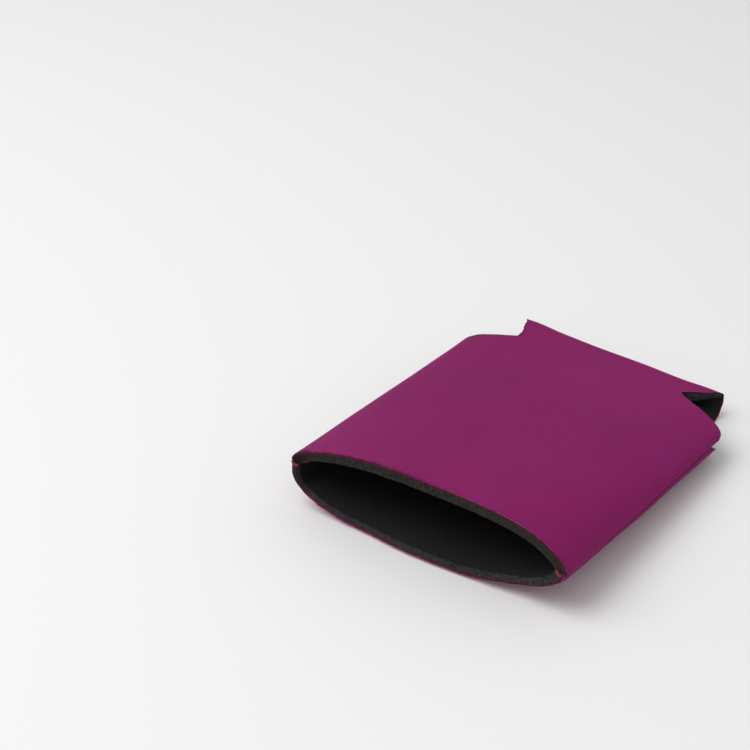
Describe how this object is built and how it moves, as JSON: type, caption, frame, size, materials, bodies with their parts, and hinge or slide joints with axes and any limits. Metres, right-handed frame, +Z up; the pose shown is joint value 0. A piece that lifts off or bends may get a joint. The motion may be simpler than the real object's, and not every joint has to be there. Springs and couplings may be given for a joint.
{
  "type": "can cooler sleeve",
  "caption": "Folded foam sleeve that keeps a drinks can cool, faced with magenta knit cloth, sewn along both sides and lying empty with its mouth open.",
  "frame": {"origin": "on the table, under the middle of the lying sleeve", "axes": "+Y from the open mouth towards the folded base, +X towards the right-hand seam seen from the mouth, +Z up through the two panels"},
  "size_m": [0.103, 0.131, 0.0292],
  "materials": {
    "knit_cloth": "fine matte knit",
    "foam": "matte open-cell foam",
    "thread": "spun sewing thread"
  },
  "bodies": {
    "root": {"fabric_face": "knit_cloth", "foam_liner": "foam", "left_seam_thread": "thread", "right_seam_thread": "thread"}
  },
  "joints": []
}
